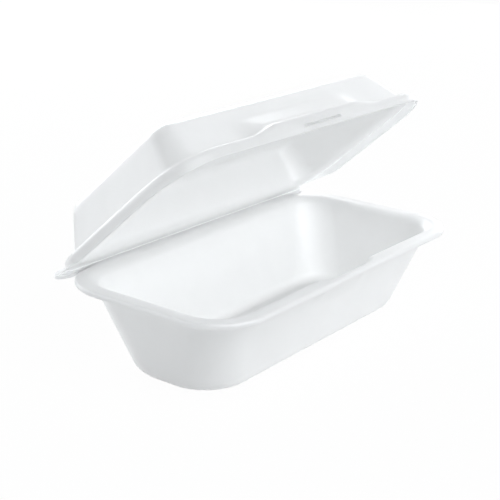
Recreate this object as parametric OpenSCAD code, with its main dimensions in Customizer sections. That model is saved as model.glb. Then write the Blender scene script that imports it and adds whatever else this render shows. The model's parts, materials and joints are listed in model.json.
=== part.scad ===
// Hinged foam container for a long sandwich: one sheet, formed as a tray and a lid that fold at a crease.
// The origin is the centre of the tray's underside, +X runs along the length and -Y is the front.

/* [Tray] */
// Length of the tray over its rim
tray_l = 245; // [220:1:300]
// Width of the tray over its rim
tray_w = 124; // [115:1:150]
// Height of the tray's rim above the table
tray_h = 54.4; // [45:0.2:70]
// Length of the floor, where the end walls meet the table
floor_l = 199.5; // [180:0.5:215]
// Width of the floor, where the long walls meet the table
floor_w = 70; // [62:0.5:90]
// Corner radius of the floor in plan
floor_r = 28.5; // [20:0.5:30]
// Corner radius of the rim in plan
rim_r = 31; // [24:0.5:36]
// Width of the rim, from the wall to the lip
rim_w = 9; // [7:0.5:12]
// Depth of the lip that is turned down at the rim's edge
lip_drop = 3.2; // [2.6:0.1:4.5]
// Rounding between the floor and the walls
foot_r = 6; // [4:0.5:10]

/* [Lid] */
// Height of the closed lid above the tray's rim
lid_rise = 29.8; // [22:0.2:40]
// Length of the lid's flat top
top_l = 204; // [190:0.5:215]
// Width of the lid's flat top
top_w = 91; // [80:0.5:100]
// Corner radius of the lid's top in plan
top_r = 22; // [16:0.5:28]
// Rounding between the lid's top and its walls
crown_r = 5; // [3:0.5:8]
// Width of the shoulder, from the skirt to the lid's wall
shoulder_w = 9; // [7:0.5:11]
// Depth of the skirt below the shoulder
skirt_drop = 5; // [3.5:0.1:6]
// Outward lean of the skirt over its height
skirt_flare = 0.3; // [0.1:0.05:0.4]
// Corner radius of the skirt beside the hinge
back_r = 26; // [22:0.5:28]
// Length over which the skirt dies out towards the hinge
skirt_fade_l = 22; // [16:0.5:30]
// Angle at which the lid stands open
open_angle = 41.5; // [0:0.5:138]

/* [Sheet] */
// Thickness of the foam sheet in the walls, floor and top
sheet_t = 2.2; // [1.6:0.1:3]
// Thickness of the pressed sheet in the rims
rim_t = 1.9; // [1.5:0.1:2.4]
// Inner rounding where a wall turns into a rim
bend_r = 3; // [2:0.1:4]
// Rounding along the outer edge of a rim
edge_r = 1.5; // [0.8:0.1:1.8]

/* [Hinge] */
// Length of the crease that joins tray and lid
hinge_l = 236; // [200:1:238]
// Radius of the bead along the crease
bead_r = 1.5; // [1:0.1:1.8]
// How deep the bead is seated in the lip's back face
bead_seat = 0.8; // [0.5:0.1:1.2]
// Width of the flat band beside the crease
band_w = 5; // [4:0.1:7]
// Length of the pointed ear at each end of the crease
ear_l = 14; // [8:0.5:20]

/* [Lock] */
// Width of the lock's bump below the tray's rim
lock_w = 60; // [40:1:80]
// How far the lock's bump stands out of the tray's wall
lock_out = 4.5; // [2:0.1:4.6]
// Height over which the bump and the hood blend into their walls
lock_h = 13; // [8:0.5:16]
// Width of the lid's hood over the lock
hood_w = 124; // [90:1:130]
// How far the hood is raised above the shoulder
hood_h = 3.5; // [2:0.1:5]
// How far the hood stands out of the lid's wall
hood_out = 4; // [2:0.1:4.1]
// Length of the slot in the lid's skirt
slot_l = 36; // [24:1:44]
// Height of the slot
slot_h = 1.6; // [1.2:0.1:2.2]
// Height of the slot's middle above the skirt's lower edge
slot_up = 3.8; // [3:0.1:4.2]

/* [Fits] */
// Play between the lid's skirt and the tray's lip
skirt_play = 0.6; // [0.5:0.1:1]
// Space between the closed lid and the tray's rim
rim_play = 0.3; // [0.3:0.05:0.6]
// Running space round the bead
bead_play = 0.35; // [0.3:0.05:0.6]

/* [Hidden] */
foam_white = [0.96, 0.96, 0.955];

// Facets in each corner, in each rounding, across the front and along an ear
corner_steps = 10;
round_steps = 4;
front_steps = 32;
ear_steps = 8;
// Share of the lock's half width that is flat
lock_flat_share = 0.62;
// Shares of the lock's blending height at which a wall has a ring
blend_shares = [0.3, 0.6, 1];
// Inward lean of the lip's inner face
lip_lean = 0.4;
// Depth by which the band lies inside the rims that carry it
band_bury = 0.2;

// The crease lies just behind the tray's lip, in the space between the two rims
hinge_y = tray_w / 2 + bead_r - bead_seat;
hinge_z = tray_h + rim_play / 2;
// Width of the front that has a point in each facet, and how far the lip gives way to the lock's bump
front_w = max(lock_w, hood_w);
lip_give = max(0, lock_out + rim_t + 2 * lip_lean - (rim_w - bend_r));
// Half length and front of the lid's skirt, and the lid's edge beside the bead
skirt_over = skirt_play + rim_t;
lid_l = tray_l + 2 * skirt_over;
lid_front = tray_w / 2 + skirt_over;
lid_back = hinge_y - bead_r - bead_play;
// Levels of the closed lid
shoulder_z = tray_h + rim_play;
lid_top_z = tray_h + lid_rise;

// A plan is [length, front, back, front radius, back radius, width of its lock], a rounded rectangle
function centred(l, w, r, lock_width) = [l, w / 2, w / 2, r, r, lock_width];
function grown(plan, g) = plan + [2 * g, g, g, g, g, 0];
function mixed(a, b, share) = a + (b - a) * share;

// Outline of a lock across the front, 1 in its middle and 0 at its ends
function lock_shape(x, width) =
    let (share = 2 * abs(x) / width, slope = (share - lock_flat_share) / (1 - lock_flat_share))
    (1 + cos(180 * min(1, max(0, slope)))) / 2;

// Points of one rounded corner, from its centre
function corner(x, y, r, start) =
    [for (i = [0 : corner_steps]) let (a = start + 90 * i / corner_steps) [x + r * cos(a), y + r * sin(a)]];

// Points of a plan, anticlockwise from the left end of the front
function outline(plan, lock) =
    let (end = plan[0] / 2, front = plan[1], back = plan[2], rf = plan[3], rb = plan[4])
    concat(
        [for (i = [0 : front_steps]) let (x = front_w * (i / front_steps - 1 / 2))
            [x, -front - lock * lock_shape(x, plan[5])]],
        corner(end - rf, rf - front, rf, -90),
        corner(end - rb, back - rb, rb, 0),
        corner(rb - end, back - rb, rb, 90),
        corner(rf - end, rf - front, rf, 180)
    );

// How much of a rim's depth is left at a place, from 1 at the front to 0 at the hinge's band
function skirt_share(y) = min(1, max(0, (lid_back - band_w - y) / skirt_fade_l));

// How much of a lock's rise there is at a place
function lock_share(p, width) = p.y < 0 ? lock_shape(p.x, width) : 0;

// A ring of points at a height, with the lock standing out, the rim hanging down and the lock rising
function ring(plan, z, lock = 0, drop = 0, rise = 0) =
    [for (p = outline(plan, lock))
        [p.x, p.y, z - drop * skirt_share(p.y) + rise * lock_share(p, plan[5])]];

// A closed surface through rings, from a flat end that faces down to a flat end that faces up
module loft(rings) {
    n = len(rings[0]);
    last = (len(rings) - 1) * n;
    first_centre = last + n;
    last_centre = first_centre + 1;
    sides = [for (i = [0 : len(rings) - 2], j = [0 : n - 1])
        let (a = i * n + j, b = i * n + (j + 1) % n)
        each [[a, a + n, b + n], [a, b + n, b]]];
    first_cap = [for (j = [0 : n - 1]) [j, (j + 1) % n, first_centre]];
    last_cap = [for (j = [0 : n - 1]) [last + (j + 1) % n, last + j, last_centre]];
    centres = [for (r = [rings[0], rings[len(rings) - 1]]) [0, 0, r[0].z]];
    polyhedron(concat([for (r = rings) each r], centres), concat(first_cap, sides, last_cap));
}

// Angles of a rounding, as shares of a quarter turn
round_shares = [for (i = [0 : round_steps]) i / round_steps];

// The tray's wall line at a height, from the floor's plan to the mouth's
floor_plan = centred(floor_l, floor_w, floor_r, lock_w);
rim_plan = centred(tray_l, tray_w, rim_r, lock_w);
mouth_plan = grown(rim_plan, -rim_w);
function tray_wall(z) = mixed(floor_plan, mouth_plan, z / tray_h);

// What is left of a lock's measure at a distance from the rim
function lock_left(measure, distance) = measure * max(0, 1 - distance / lock_h);

// One side of the tray's sheet, from the flat floor up to the bend below the rim
function tray_side(inset, floor_z, round_r, bend_z) = concat(
    [for (share = round_shares) let (a = 90 * share, z = floor_z + round_r * (1 - cos(a)))
        ring(grown(tray_wall(z), round_r * (sin(a) - 1) - inset), z)],
    [for (i = [len(blend_shares) - 1 : -1 : 0])
        let (z = mixed(bend_z, bend_z - lock_h, blend_shares[i]))
        ring(grown(tray_wall(z), -inset), z, lock_left(lock_out, bend_z - z))]
);

// The tray's rim, over the bend, under the flange, round the lip and back to the inner bend
function tray_rim() =
    let (under_z = tray_h - rim_t, bend_z = under_z - bend_r, hang = lip_drop - rim_t)
    concat(
        [for (share = round_shares) let (a = 90 * share)
            ring(grown(mixed(tray_wall(bend_z), tray_wall(tray_h), share), bend_r * (1 - cos(a))),
                bend_z + bend_r * sin(a), lock_out)],
        [ring(grown(rim_plan, -rim_t - lip_lean), under_z, lip_give),
         ring(grown(rim_plan, -rim_t), under_z, lip_give, hang, hang),
         ring(rim_plan, under_z, 0, hang, hang)],
        [for (share = round_shares) let (a = 90 * share)
            ring(grown(rim_plan, edge_r * (cos(a) - 1)), tray_h - edge_r * (1 - sin(a)))],
        [for (share = round_shares) let (a = 90 * share, r = bend_r + rim_t)
            ring(grown(mixed(mouth_plan, tray_wall(tray_h - r), share), (r - sheet_t) - r * sin(a)),
                tray_h - r * (1 - cos(a)), lock_out)]
    );

function reversed(list) = [for (i = [len(list) - 1 : -1 : 0]) list[i]];

// Flat band that carries the crease, with pointed ends that show as ears behind the corners
module hinge_band(back_y, low_z, high_z) {
    right_ear = [for (i = [0 : ear_steps]) let (a = 90 * i / ear_steps)
        [hinge_l / 2 - ear_l * (1 - cos(a)), -band_w * sin(a)]];
    left_ear = [for (p = reversed(right_ear)) [-p.x, p.y]];
    translate([0, back_y, low_z])
        linear_extrude(high_z - low_z)
            polygon(concat(right_ear, left_ear));
}

// The tray, with the bead of the crease along its back edge
module base_tray() {
    bend_z = tray_h - rim_t - bend_r;
    outside = tray_side(0, 0, foot_r, bend_z);
    inside = tray_side(sheet_t, sheet_t, foot_r - sheet_t / 2, bend_z);
    color(foam_white) {
        loft(concat(outside, tray_rim(), reversed(inside)));
        hinge_band(hinge_y, tray_h - rim_t + band_bury, tray_h - band_bury);
        translate([0, hinge_y, hinge_z])
            rotate([0, 90, 0])
                cylinder(h = hinge_l - ear_l, r = bead_r, center = true, $fn = 32);
    }
}

// The lid's wall line at a height of the closed lid, from the shoulder's plan to the top's
skirt_r = rim_r + skirt_over;
skirt_plan = [lid_l, lid_front, lid_back, skirt_r, back_r, hood_w];
shoulder_plan = centred(lid_l - 2 * shoulder_w, 2 * (lid_front - shoulder_w), skirt_r - shoulder_w, hood_w);
top_plan = centred(top_l, top_w, top_r, hood_w);
function lid_wall(z) = mixed(shoulder_plan, top_plan, (z - shoulder_z) / (lid_top_z - shoulder_z));

// One side of the lid's sheet, from the bend above the shoulder up to the flat top
function lid_side(inset, top_z, round_r, bend_z) = concat(
    [for (share = blend_shares) let (z = bend_z + lock_h * share)
        ring(grown(lid_wall(z), -inset), z,
            lock_left(hood_out, z - bend_z), 0, lock_left(hood_h, z - bend_z))],
    [for (share = round_shares) let (a = 90 * share, z = top_z - round_r * (1 - sin(a)))
        ring(grown(lid_wall(z), round_r * (cos(a) - 1) - inset), z)]
);

// The lid's rim, from the inner bend over the shoulder's underside, round the skirt and up to the outer bend
function lid_rim() =
    let (over_z = shoulder_z + rim_t, bend_z = over_z + bend_r, r = bend_r + rim_t)
    concat(
        [for (share = round_shares) let (a = 90 * share)
            ring(grown(mixed(lid_wall(bend_z), shoulder_plan, share), r * (1 - cos(a)) - sheet_t),
                bend_z - r * sin(a), hood_out, 0, hood_h)],
        [ring(grown(skirt_plan, -rim_t - skirt_flare), shoulder_z, 0, 0, hood_h),
         ring(grown(skirt_plan, -rim_t), shoulder_z, 0, skirt_drop),
         ring(skirt_plan, shoulder_z, 0, skirt_drop)],
        [for (share = round_shares) let (a = 90 * share)
            ring(grown(skirt_plan, edge_r * (cos(a) - 1) - skirt_flare),
                over_z - edge_r * (1 - sin(a)), 0, 0, hood_h)],
        [for (share = round_shares) let (a = 90 * share)
            ring(grown(mixed(shoulder_plan, lid_wall(bend_z), share), bend_r * (1 - sin(a))),
                over_z + bend_r * (1 - cos(a)), hood_out, 0, hood_h)]
    );

// Cut of the slot through the skirt, with round ends
module skirt_slot() {
    end_r = slot_h / 2;
    translate([0, rim_t / 2 - lid_front, shoulder_z - skirt_drop + slot_up])
        rotate([90, 0, 0])
            linear_extrude(2 * (rim_t + skirt_flare), center = true) {
                square([slot_l - slot_h, slot_h], center = true);
                for (side = [-1, 1])
                    translate([side * (slot_l / 2 - end_r), 0])
                        circle(end_r, $fn = 16);
            }
}

// The lid, closed
module closed_lid() {
    bend_z = shoulder_z + rim_t + bend_r;
    outside = lid_side(0, lid_top_z, crown_r, bend_z);
    inside = lid_side(sheet_t, lid_top_z - sheet_t, crown_r - sheet_t / 2, bend_z);
    difference() {
        loft(concat(reversed(inside), lid_rim(), outside));
        skirt_slot();
    }
    hinge_band(lid_back, shoulder_z + band_bury, shoulder_z + rim_t - band_bury);
}

// The lid, turned open about the crease
module lid() {
    color(foam_white)
        translate([0, hinge_y, hinge_z])
            rotate([-open_angle, 0, 0])
                translate([0, -hinge_y, -hinge_z])
                    closed_lid();
}

base_tray();
lid();
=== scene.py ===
# Hinged foam container for a long sandwich: smooth foam shells, the folded hinge, light and camera.
import json
import math

import bpy
import numpy as np
from mathutils import Matrix, Vector


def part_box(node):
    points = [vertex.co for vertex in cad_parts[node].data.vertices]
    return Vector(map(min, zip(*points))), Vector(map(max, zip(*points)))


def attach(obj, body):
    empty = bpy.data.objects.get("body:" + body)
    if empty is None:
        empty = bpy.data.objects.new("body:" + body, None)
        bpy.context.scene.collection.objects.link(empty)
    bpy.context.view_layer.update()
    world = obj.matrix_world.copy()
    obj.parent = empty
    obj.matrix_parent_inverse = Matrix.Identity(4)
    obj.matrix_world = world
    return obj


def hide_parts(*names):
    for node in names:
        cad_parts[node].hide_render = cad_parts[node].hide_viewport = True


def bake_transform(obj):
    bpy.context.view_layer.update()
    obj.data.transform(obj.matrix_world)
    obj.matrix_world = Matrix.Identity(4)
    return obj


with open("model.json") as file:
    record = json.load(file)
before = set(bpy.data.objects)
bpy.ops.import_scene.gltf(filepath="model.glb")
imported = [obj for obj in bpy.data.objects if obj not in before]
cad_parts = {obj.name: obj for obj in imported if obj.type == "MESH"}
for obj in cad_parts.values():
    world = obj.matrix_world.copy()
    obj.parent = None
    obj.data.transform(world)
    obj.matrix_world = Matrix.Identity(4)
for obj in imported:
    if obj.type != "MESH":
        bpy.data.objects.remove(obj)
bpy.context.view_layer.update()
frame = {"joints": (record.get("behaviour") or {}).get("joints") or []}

# Places and sizes taken from the frame, in metres
tray_low, tray_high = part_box("base_tray")
lid_low, lid_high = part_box("lid")
lid_hinge = next(joint for joint in frame["joints"] if joint["name"] == "lid_hinge")
hinge_y, hinge_z = lid_hinge["pos_m"][1:]
open_angle = -math.radians(lid_hinge["range_deg"][0])
tray_l = tray_high.x - tray_low.x
lid_l = lid_high.x - lid_low.x

# Tray
tray_w = 0.124
tray_h = 0.0544
floor_l = 0.1995
floor_w = 0.070
floor_r = 0.0285
rim_r = 0.031
rim_w = 0.009
lip_drop = 0.0032
lip_lean = 0.0004
foot_r = 0.006

# Lid, with tighter corners and a more rolled edge than its solid, as in the photograph
lid_rise = 0.0298
top_l = 0.204
top_w = 0.091
top_r = 0.0105
crown_r = 0.00506
shoulder_w = 0.009
shoulder_r = 0.016
skirt_drop = 0.005
skirt_flare = 0.0003
roll_w = 0.0018
roll_h = 0.0045
back_r = 0.026
skirt_fade_l = 0.022

# Foam sheet
sheet_t = 0.0022
rim_t = 0.0019
bend_r = 0.003
edge_r = 0.0015
cut_r = 0.0003

# Hinge, whose fold stays below the outer faces of the sheet and stands a little proud of the inner ones
hinge_l = 0.236
band_w = 0.005
ear_l = 0.014
bead_r = 0.0015
bead_play = 0.00035
fold_gap = 0.0002
fold_proud = 0.00004
fold_share = 0.45

# Lock, a bump below the tray's rim, for which the lip gives way, and a hood with a slot on the lid
lock_w = 0.060
lock_out = 0.0045
lock_h = 0.013
lock_flat_share = 0.62
hood_w = 0.124
hood_h = 0.0035
hood_out = 0.004
slot_l = 0.036
slot_h = 0.0016
slot_up = 0.0038
front_w = hood_w
lip_give = lock_out + rim_t + 2 * lip_lean - (rim_w - bend_r)

# Fits
skirt_over = (lid_l - tray_l) / 2
rim_play = 2 * (hinge_z - tray_h)

# Steps of the smooth surfaces
corner_steps = 24
round_steps = 8
front_steps = 62
side_steps = 12
wall_steps = 10
fold_steps = 16
flat_steps = 6
fold_columns = 60
cap_shares = (0.96, 0.8, 0.55, 0.3)
round_shares = [i / round_steps for i in range(round_steps + 1)]
round_turns = [share * math.pi / 2 for share in round_shares]
wall_shares = [i / wall_steps for i in range(1, wall_steps)]
sharp_angle = math.radians(50)

# Levels of the closed container
lid_front = tray_w / 2 + skirt_over
lid_back = hinge_y - bead_r - bead_play
shoulder_z = tray_h + rim_play
lid_top_z = tray_h + lid_rise


# A plan is [length, front, back, front radius, back radius, width of its lock], a rounded rectangle
def centred(length, width, radius, lock_width):
    """A plan with its middle on the axis and four equal corners."""
    return np.array([length, width / 2, width / 2, radius, radius, lock_width])


def grown(plan, amount):
    """A plan moved outwards all round, with its lock as wide as before."""
    return plan + amount * np.array([2, 1, 1, 1, 1, 0])


def mixed(a, b, share):
    return a + (b - a) * share


def lock_shape(x, width):
    """Outline of a lock across the front, 1 in its middle and 0 at its ends."""
    slope = (2 * abs(x) / width - lock_flat_share) / (1 - lock_flat_share)
    return (1 + math.cos(math.pi * min(1, max(0, slope)))) / 2


def corner(x, y, radius, start):
    """Points of a rounded corner, a quarter turn from the given angle."""
    turns = [math.radians(start + 90 * i / corner_steps) for i in range(corner_steps + 1)]
    return [(x + radius * math.cos(a), y + radius * math.sin(a)) for a in turns]


def between(a, b):
    """Points along a straight edge, without its ends."""
    return [tuple(mixed(np.array(a), np.array(b), i / side_steps)) for i in range(1, side_steps)]


def outline(plan, lock):
    """Points of a plan, anticlockwise from the left end of the front."""
    length, front, back, front_r, rear_r, lock_width = plan
    end = length / 2
    places = [front_w * (i / front_steps - 1 / 2) for i in range(front_steps + 1)]
    runs = [
        [(x, -front - lock * lock_shape(x, lock_width)) for x in places],
        corner(end - front_r, front_r - front, front_r, -90),
        corner(end - rear_r, back - rear_r, rear_r, 0),
        corner(rear_r - end, back - rear_r, rear_r, 90),
        corner(front_r - end, front_r - front, front_r, 180),
    ]
    points = []
    for run, following in zip(runs, runs[1:] + runs[:1]):
        points += run + between(run[-1], following[0])
    return points


def skirt_share(y):
    """What is left of a rim's depth, from 1 at the front to 0 at the hinge's band."""
    return min(1, max(0, (lid_back - band_w - y) / skirt_fade_l))


def ring(plan, z, lock=0, drop=0, rise=0):
    """Points round a plan at a height: the lock stands out and rises, the rim hangs down."""
    lock_width = plan[-1]
    points = []
    for x, y in outline(plan, lock):
        lift = rise * lock_shape(x, lock_width) if y < 0 else 0
        points.append((x, y, z - drop * skirt_share(y) + lift))
    return np.array(points)


def lock_left(measure, distance):
    """What is left of a lock's measure at a distance from the rim."""
    return measure * max(0, 1 - distance / lock_h)


def trimmed_edge(plan, z, drop, give, rise):
    """Rings across a rim's cut edge, from its inner to its outer corner, both a little rounded."""
    soft_rise = max(0, rise - cut_r)
    return [
        ring(grown(plan, -rim_t), z, give, drop - cut_r, soft_rise),
        ring(grown(plan, -rim_t + cut_r), z, give, drop, rise),
        ring(grown(plan, -cut_r), z, 0, drop, rise),
        ring(plan, z, 0, drop - cut_r, soft_rise),
    ]


# Rings of the tray
floor_plan = centred(floor_l, floor_w, floor_r, lock_w)
rim_plan = centred(tray_l, tray_w, rim_r, lock_w)
mouth_plan = grown(rim_plan, -rim_w)


def tray_wall(z):
    """Plan of the tray's outer wall at a height."""
    return mixed(floor_plan, mouth_plan, z / tray_h)


def tray_side(inset, floor_z, round_r, bend_z):
    """One side of the tray's sheet, from the flat floor up to the bend below the rim."""
    rings = []
    for turn in round_turns:
        z = floor_z + round_r * (1 - math.cos(turn))
        rings.append(ring(grown(tray_wall(z), round_r * (math.sin(turn) - 1) - inset), z))
    for share in wall_shares:
        z = mixed(floor_z + round_r, bend_z, share)
        rings.append(ring(grown(tray_wall(z), -inset), z, lock_left(lock_out, bend_z - z)))
    return rings


def tray_rings():
    """Rings of the whole tray, the band that is its cut edge and the bands of its pressed rim."""
    under_z = tray_h - rim_t
    bend_z = under_z - bend_r
    rings = tray_side(0, 0, foot_r, bend_z)
    for share, turn in zip(round_shares, round_turns):
        wall = mixed(tray_wall(bend_z), tray_wall(tray_h), share)
        z = bend_z + bend_r * math.sin(turn)
        rings.append(ring(grown(wall, bend_r * (1 - math.cos(turn))), z, lock_out))
    rim_start = len(rings) - 1
    rings.append(ring(grown(rim_plan, -rim_t - lip_lean), under_z, lip_give))
    cut_band = len(rings) + 1
    hang = lip_drop - rim_t
    rings += trimmed_edge(rim_plan, under_z, hang, lip_give, hang)
    for turn in round_turns:
        z = tray_h - edge_r * (1 - math.sin(turn))
        rings.append(ring(grown(rim_plan, edge_r * (math.cos(turn) - 1)), z))
    pressed = range(rim_start, len(rings))
    inner_r = bend_r + rim_t
    for share, turn in zip(round_shares, round_turns):
        wall = mixed(mouth_plan, tray_wall(tray_h - inner_r), share)
        z = tray_h - inner_r * (1 - math.cos(turn))
        rings.append(ring(grown(wall, inner_r - sheet_t - inner_r * math.sin(turn)), z, lock_out))
    rings += tray_side(sheet_t, sheet_t, foot_r - sheet_t / 2, bend_z)[::-1]
    return rings, cut_band, pressed


# Rings of the closed lid
skirt_r = rim_r + skirt_over
skirt_plan = np.array([lid_l, lid_front, lid_back, skirt_r, back_r, hood_w])
shoulder_plan = centred(lid_l - 2 * shoulder_w, 2 * (lid_front - shoulder_w), shoulder_r, hood_w)
top_plan = centred(top_l, top_w, top_r, hood_w)


def lid_wall(z):
    """Plan of the closed lid's outer wall at a height."""
    return mixed(shoulder_plan, top_plan, (z - shoulder_z) / (lid_top_z - shoulder_z))


def lid_side(inset, top_z, round_r, bend_z):
    """One side of the lid's sheet, from the bend above the shoulder up to the flat top."""
    rings = []
    for share in wall_shares:
        z = mixed(bend_z, top_z - round_r, share)
        out, rise = lock_left(hood_out, z - bend_z), lock_left(hood_h, z - bend_z)
        rings.append(ring(grown(lid_wall(z), -inset), z, out, 0, rise))
    for turn in round_turns:
        z = top_z - round_r * (1 - math.sin(turn))
        rings.append(ring(grown(lid_wall(z), round_r * (math.cos(turn) - 1) - inset), z))
    return rings


def slot_rings(above, below):
    """Rings on the skirt's face at the upper and the lower edge of the slot."""
    middle = front_steps // 2
    top, bottom = above[middle][2], below[middle][2]
    slot_z = shoulder_z - skirt_drop + slot_up
    levels = (slot_z + slot_h / 2, slot_z - slot_h / 2)
    return [mixed(above, below, (top - z) / (top - bottom)) for z in levels]


def lid_rings():
    """Rings of the whole closed lid, the bands of its cut edge and pressed rim, and those with the slot."""
    over_z = shoulder_z + rim_t
    bend_z = over_z + bend_r
    inner_r = bend_r + rim_t
    rings = lid_side(sheet_t, lid_top_z - sheet_t, crown_r - sheet_t / 2, bend_z)[::-1]
    for share, turn in zip(round_shares, round_turns):
        wall = mixed(lid_wall(bend_z), shoulder_plan, share)
        plan = grown(wall, inner_r * (1 - math.cos(turn)) - sheet_t)
        z = bend_z - inner_r * math.sin(turn)
        rings.append(ring(plan, z, hood_out, 0, hood_h))
    rim_start = len(rings) - 1
    inner_top = ring(grown(skirt_plan, -rim_t - skirt_flare), shoulder_z, 0, 0, hood_h)
    edge = trimmed_edge(skirt_plan, shoulder_z, skirt_drop, 0, 0)
    outer_edge = []
    for turn in round_turns:
        plan = grown(skirt_plan, roll_w * (math.cos(turn) - 1) - skirt_flare)
        z = over_z - edge_r * (1 - math.sin(turn))
        hang = (roll_h - edge_r) * (1 - math.sin(turn))
        outer_edge.append(ring(plan, z, 0, hang, hood_h))
    rings.append(inner_top)
    slot_bands = [len(rings)]
    rings += slot_rings(inner_top, edge[0])
    cut_band = len(rings) + 1
    rings += edge
    slot_bands.append(len(rings))
    rings += slot_rings(outer_edge[0], edge[-1])[::-1]
    rings += outer_edge
    pressed = range(rim_start, len(rings))
    for share, turn in zip(round_shares, round_turns):
        wall = mixed(shoulder_plan, lid_wall(bend_z), share)
        z = over_z + bend_r * (1 - math.cos(turn))
        rings.append(ring(grown(wall, bend_r * (1 - math.sin(turn))), z, hood_out, 0, hood_h))
    rings += lid_side(0, lid_top_z, crown_r, bend_z)
    return rings, cut_band, pressed, slot_bands


# Meshes, whose faces have one of three finishes, numbered as the materials of a shell
skin_finish, cut_finish, pressed_finish = range(3)


def capped(rings):
    """The rings with rings added on the two flat ends, which shrink towards the middle."""
    def shrunk(edge, share):
        centre = np.array([0, 0, edge[0][2]])
        return centre + (edge - centre) * share
    first = [shrunk(rings[0], share) for share in reversed(cap_shares)]
    last = [shrunk(rings[-1], share) for share in cap_shares]
    return first + rings + last


def loft(name, rings, cut_band, pressed, slot_bands=(), turn=None):
    """A closed shell through rings, with bands that are cut or pressed and a slot through two of them."""
    caps = len(cap_shares)
    finish = {band + caps: pressed_finish for band in pressed}
    finish[cut_band + caps] = cut_finish
    slot_bands = [band + caps for band in slot_bands]
    slot_start = round((front_w - slot_l) / 2 / front_w * front_steps)
    slot_end = front_steps - slot_start
    rings = capped(rings)
    count = len(rings[0])
    points = [tuple(p) for r in rings for p in r]
    ends = [(0, 0, rings[0][0][2]), (0, 0, rings[-1][0][2])]
    first_centre = len(points)
    last_start = first_centre - count
    faces, finishes = [], []
    for i in range(len(rings) - 1):
        for j in range(count):
            a, b = i * count + j, i * count + (j + 1) % count
            if i in slot_bands and slot_start <= j < slot_end:
                continue
            faces.append((a, b, b + count, a + count))
            finishes.append(finish.get(i, skin_finish))
    if slot_bands:
        inner_high, outer_low = [band * count for band in slot_bands]
        inner_low, outer_high = inner_high + count, outer_low + count
        for j in range(slot_start, slot_end):
            k = j + 1
            faces.append((inner_high + j, inner_high + k, outer_high + k, outer_high + j))
            faces.append((outer_low + j, outer_low + k, inner_low + k, inner_low + j))
        j, k = slot_start, slot_end
        faces.append((inner_low + j, inner_high + j, outer_high + j, outer_low + j))
        faces.append((inner_high + k, inner_low + k, outer_low + k, outer_high + k))
        finishes += [cut_finish] * (len(faces) - len(finishes))
    for j in range(count):
        k = (j + 1) % count
        faces.append((k, j, first_centre))
        faces.append((last_start + j, last_start + k, first_centre + 1))
        finishes += [skin_finish, skin_finish]
    return make_piece(name, points + ends, faces, finishes, turn)


def make_piece(name, points, faces, finishes, turn=None):
    """A smooth mesh object, with each face's material by number."""
    mesh = bpy.data.meshes.new(name)
    mesh.from_pydata(points, [], faces)
    if turn is not None:
        mesh.transform(turn)
    mesh.polygons.foreach_set("material_index", finishes)
    mesh.polygons.foreach_set("use_smooth", [True] * len(faces))
    mesh.set_sharp_from_angle(angle=sharp_angle)
    mesh.update()
    piece = bpy.data.objects.new(name, mesh)
    bpy.context.scene.collection.objects.link(piece)
    return piece


def about_hinge(turn):
    """Turn about the crease, in the row frame."""
    place = Matrix.Translation((0, hinge_y, hinge_z))
    return place @ Matrix.Rotation(turn, 4, "X") @ place.inverted()


def fold_profile():
    """Rows across the crease: inner and outer place, way along the sheet and share of the band."""
    inner_r = rim_play / 2 - fold_proud
    outer_r = rim_play / 2 + rim_t - fold_gap
    flat_shares = [1 - i / flat_steps for i in range(flat_steps)]
    last = math.pi / 2 - open_angle
    turns = [mixed(-math.pi / 2, last, i / fold_steps) for i in range(fold_steps + 1)]
    places = [(-math.pi / 2, share) for share in flat_shares]
    places += [(turn, 0) for turn in turns]
    places += [(last, -share) for share in reversed(flat_shares)]
    line = []
    for turn, share in places:
        out = np.array([0, math.cos(turn), math.sin(turn)])
        along = np.array([0, out[2], -out[1]]) * band_w * share
        middle = np.array([0, hinge_y, hinge_z])
        line.append((middle + out * inner_r, middle + out * outer_r, along, abs(share)))
    return line


def hinge_fold():
    """The sheet across the crease, with a pointed ear at each end."""
    line = fold_profile()
    columns = [-1 + 2 * i / fold_columns for i in range(fold_columns + 1)]
    inner, outer = [], []
    for inner_place, outer_place, along, share in line:
        end = hinge_l / 2 - ear_l * (1 - math.sqrt(1 - share * share))
        for column in columns:
            ear_share = min(1, max(0, 1 - (hinge_l / 2 - abs(column * end) - ear_l) / ear_l))
            offset = np.array([column * end, 0, 0]) + along * mixed(fold_share, 1, ear_share)
            inner.append(tuple(inner_place + offset))
            outer.append(tuple(outer_place + offset))
    count, rows = len(columns), len(line)
    first_inner = len(outer)
    faces = []
    for i in range(rows - 1):
        for j in range(count - 1):
            a = i * count + j
            quad = (a, a + 1, a + count + 1, a + count)
            faces.append(quad[::-1])
            faces.append(tuple(first_inner + v for v in quad))
    border = list(range(count))
    border += [i * count + count - 1 for i in range(1, rows)]
    border += [(rows - 1) * count + j for j in range(count - 2, -1, -1)]
    border += [i * count for i in range(rows - 2, 0, -1)]
    for a, b in zip(border, border[1:] + border[:1]):
        faces.append((a, b, first_inner + b, first_inner + a))
    return make_piece("hinge_fold", outer + inner, faces, [0] * len(faces))


# Materials: how strongly the cells show, how far light enters and how high bumps are, in metres
foam_white = (0.91, 0.91, 0.905)
cut_white = (0.89, 0.89, 0.885)
skin_cells = 0.12
pressed_cells = 0.06
cut_cells = 0.5
skin_roughness = 0.36
pressed_roughness = 0.3
cut_roughness = 0.8
sheet_depth = 0.006
rim_depth = 0.02
foam_specular = 0.8
cloud_scale = 55
cloud_detail = 5
cloud_start = 0.35
cloud_end = 0.65
cloud_shade = 0.985
roughness_spread = 0.05
cell_scale = 1500
cell_height = 0.0002
skin_scale = 260
skin_detail = 3
skin_strength = 0.12
skin_height = 0.0004


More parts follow.
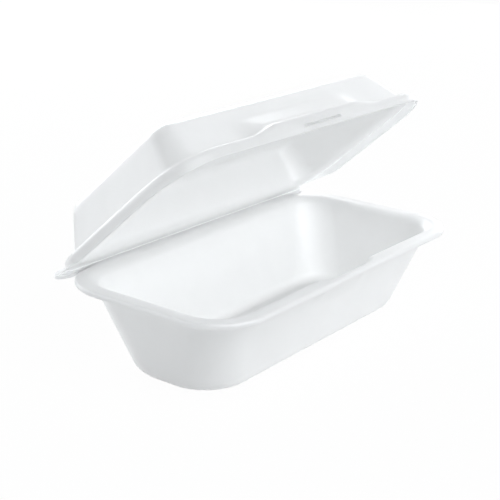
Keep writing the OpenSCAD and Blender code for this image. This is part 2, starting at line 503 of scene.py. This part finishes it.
def foam_material(name, colour, cell_strength, roughness, depth):
    """White extruded foam: a fine skin over small cells, faintly cloudy."""
    material = bpy.data.materials.new(name)
    material.use_nodes = True
    nodes, links = material.node_tree.nodes, material.node_tree.links
    shader = nodes["Principled BSDF"]
    place = nodes.new("ShaderNodeTexCoord")

    cloud = nodes.new("ShaderNodeTexNoise")
    cloud.inputs["Scale"].default_value = cloud_scale
    cloud.inputs["Detail"].default_value = cloud_detail
    links.new(place.outputs["Object"], cloud.inputs["Vector"])
    tint = nodes.new("ShaderNodeValToRGB")
    tint.color_ramp.elements[0].position = cloud_start
    tint.color_ramp.elements[1].position = cloud_end
    tint.color_ramp.elements[0].color = (*[c * cloud_shade for c in colour], 1)
    tint.color_ramp.elements[1].color = (*colour, 1)
    links.new(cloud.outputs["Fac"], tint.inputs["Fac"])
    links.new(tint.outputs["Color"], shader.inputs["Base Color"])

    gloss = nodes.new("ShaderNodeMapRange")
    gloss.inputs["To Min"].default_value = roughness - roughness_spread
    gloss.inputs["To Max"].default_value = roughness + roughness_spread
    links.new(cloud.outputs["Fac"], gloss.inputs["Value"])
    links.new(gloss.outputs["Result"], shader.inputs["Roughness"])

    cells = nodes.new("ShaderNodeTexVoronoi")
    cells.inputs["Scale"].default_value = cell_scale
    links.new(place.outputs["Object"], cells.inputs["Vector"])
    skin = nodes.new("ShaderNodeTexNoise")
    skin.inputs["Scale"].default_value = skin_scale
    skin.inputs["Detail"].default_value = skin_detail
    links.new(place.outputs["Object"], skin.inputs["Vector"])
    skin_bump = nodes.new("ShaderNodeBump")
    skin_bump.inputs["Strength"].default_value = skin_strength
    skin_bump.inputs["Distance"].default_value = skin_height
    links.new(skin.outputs["Fac"], skin_bump.inputs["Height"])
    cell_bump = nodes.new("ShaderNodeBump")
    cell_bump.inputs["Strength"].default_value = cell_strength
    cell_bump.inputs["Distance"].default_value = cell_height
    links.new(cells.outputs["Distance"], cell_bump.inputs["Height"])
    links.new(skin_bump.outputs["Normal"], cell_bump.inputs["Normal"])
    links.new(cell_bump.outputs["Normal"], shader.inputs["Normal"])

    shader.inputs["Specular IOR Level"].default_value = foam_specular
    shader.inputs["Subsurface Weight"].default_value = 1
    shader.inputs["Subsurface Radius"].default_value = (depth, depth, depth)
    shader.inputs["Subsurface Scale"].default_value = 1
    return material


def add_materials(piece, *materials):
    """Materials of a piece, in the order of its faces' numbers."""
    for material in materials:
        piece.data.materials.append(material)


tray_skin = foam_material("tray_foam_skin", foam_white, skin_cells, skin_roughness, sheet_depth)
lid_skin = foam_material("lid_foam_skin", foam_white, skin_cells, skin_roughness, sheet_depth)
pressed_foam = foam_material("pressed_foam", foam_white, pressed_cells, pressed_roughness, rim_depth)
cut_foam = foam_material("cut_foam", cut_white, cut_cells, cut_roughness, sheet_depth)

# Pieces
tray = loft("foam_tray", *tray_rings())
add_materials(tray, tray_skin, cut_foam, pressed_foam)
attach(tray, "tray")
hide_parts("base_tray")

lid = loft("foam_lid", *lid_rings(), turn=about_hinge(-open_angle))
add_materials(lid, lid_skin, cut_foam, pressed_foam)
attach(lid, "lid")
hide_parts("lid")

fold = hinge_fold()
add_materials(fold, pressed_foam)
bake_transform(fold)

# Camera at the photograph's place, from its fit
frame_px = 500
focal_px = 1188.0
view_azimuth = math.radians(-52.99)
view_elevation = math.radians(18.83)
view_roll = math.radians(1.16)
view_distance = 0.7135
view_shift_x = -0.01356
view_shift_y = -0.00642
view_clip = 0.01
aim = Vector((0, 0, 0.060))


def make_camera():
    """The scene's camera, and its directions to the right and back."""
    back = Vector((
        math.sin(view_azimuth) * math.cos(view_elevation),
        -math.cos(view_azimuth) * math.cos(view_elevation),
        math.sin(view_elevation),
    ))
    level = Vector((math.cos(view_azimuth), math.sin(view_azimuth), 0))
    upright = back.cross(level)
    right = level * math.cos(view_roll) + upright * math.sin(view_roll)
    up = upright * math.cos(view_roll) - level * math.sin(view_roll)
    place = aim + back * view_distance + right * view_shift_x + up * view_shift_y
    turn = Matrix((right, up, back)).transposed().to_4x4()
    data = bpy.data.cameras.new("camera")
    data.lens = data.sensor_width * focal_px / frame_px
    data.clip_start = view_clip
    camera = bpy.data.objects.new("camera", data)
    camera.matrix_world = Matrix.Translation(place) @ turn
    bpy.context.scene.collection.objects.link(camera)
    bpy.context.scene.camera = camera
    return right, back


camera_right, camera_back = make_camera()

# Light: a pale sky and softboxes, the strongest behind the object, from where it shines through the foam
floor_size = 8
floor_gap = 0.0002
floor_colour = (0.9, 0.9, 0.9)
floor_roughness = 0.9
floor_specular = 0.1
floor_white_share = 0.97
sky_strength = 0.17
lamp_tint = (0.955, 0.98, 1.0)
softbox_size = 1.3
softbox_distance = 1.6


def seen_white(nodes, links):
    """1 where a ray comes straight from the camera, by reflection or through glass."""
    path = nodes.new("ShaderNodeLightPath")
    total = path.outputs["Is Camera Ray"]
    for kind in ("Is Glossy Ray", "Is Transmission Ray"):
        either = nodes.new("ShaderNodeMath")
        either.operation = "MAXIMUM"
        links.new(total, either.inputs[0])
        links.new(path.outputs[kind], either.inputs[1])
        total = either.outputs[0]
    return total


def make_floor():
    """A pale floor that looks almost white to the camera and keeps the object's shadow."""
    half = floor_size / 2
    corners = [(-half, -half, 0), (half, -half, 0), (half, half, 0), (-half, half, 0)]
    mesh = bpy.data.meshes.new("floor")
    mesh.from_pydata(corners, [], [(0, 1, 2, 3)])
    floor = bpy.data.objects.new("floor", mesh)
    floor.location.z = -floor_gap
    bpy.context.scene.collection.objects.link(floor)
    material = bpy.data.materials.new("floor")
    material.use_nodes = True
    nodes, links = material.node_tree.nodes, material.node_tree.links
    paper = nodes["Principled BSDF"]
    paper.inputs["Base Color"].default_value = (*floor_colour, 1)
    paper.inputs["Roughness"].default_value = floor_roughness
    paper.inputs["Specular IOR Level"].default_value = floor_specular
    white = nodes.new("ShaderNodeEmission")
    share = nodes.new("ShaderNodeMath")
    share.operation = "MULTIPLY"
    share.inputs[1].default_value = floor_white_share
    links.new(seen_white(nodes, links), share.inputs[0])
    mix = nodes.new("ShaderNodeMixShader")
    links.new(share.outputs[0], mix.inputs["Fac"])
    links.new(paper.outputs[0], mix.inputs[1])
    links.new(white.outputs[0], mix.inputs[2])
    links.new(mix.outputs[0], nodes["Material Output"].inputs["Surface"])
    mesh.materials.append(material)


def make_world():
    """A pale sky that lights the object and looks white to the camera."""
    world = bpy.data.worlds.new("studio")
    world.use_nodes = True
    nodes, links = world.node_tree.nodes, world.node_tree.links
    sky = nodes["Background"]
    sky.inputs["Color"].default_value = (*lamp_tint, 1)
    sky.inputs["Strength"].default_value = sky_strength
    white = nodes.new("ShaderNodeBackground")
    white.inputs["Color"].default_value = (1, 1, 1, 1)
    mix = nodes.new("ShaderNodeMixShader")
    links.new(seen_white(nodes, links), mix.inputs["Fac"])
    links.new(sky.outputs[0], mix.inputs[1])
    links.new(white.outputs[0], mix.inputs[2])
    links.new(mix.outputs[0], nodes["World Output"].inputs["Surface"])
    bpy.context.scene.world = world


def softbox(name, azimuth, elevation, power):
    """A square lamp; azimuth 0 is the camera's side, 90 its right and 180 behind the object."""
    around, rise = math.radians(azimuth), math.radians(elevation)
    level_back = Vector((camera_back.x, camera_back.y, 0)).normalized()
    level_right = Vector((camera_right.x, camera_right.y, 0)).normalized()
    level = level_back * math.cos(around) + level_right * math.sin(around)
    direction = level * math.cos(rise) + Vector((0, 0, math.sin(rise)))
    data = bpy.data.lights.new(name, "AREA")
    data.size = softbox_size
    data.color = lamp_tint
    data.energy = power
    lamp = bpy.data.objects.new(name, data)
    lamp.location = aim + direction * softbox_distance
    lamp.rotation_mode = "QUATERNION"
    lamp.rotation_quaternion = (-direction).to_track_quat("-Z", "Y")
    bpy.context.scene.collection.objects.link(lamp)


make_floor()
make_world()
softbox("back_left", azimuth=200, elevation=12, power=17)
softbox("left", azimuth=240, elevation=8, power=9.5)
softbox("front_left", azimuth=275, elevation=10, power=5)
softbox("right", azimuth=145, elevation=6, power=8.5)
softbox("front_right", azimuth=66, elevation=25, power=11.8)
softbox("front_high", azimuth=34, elevation=52, power=11.5)
bpy.context.scene.view_settings.view_transform = "Standard"
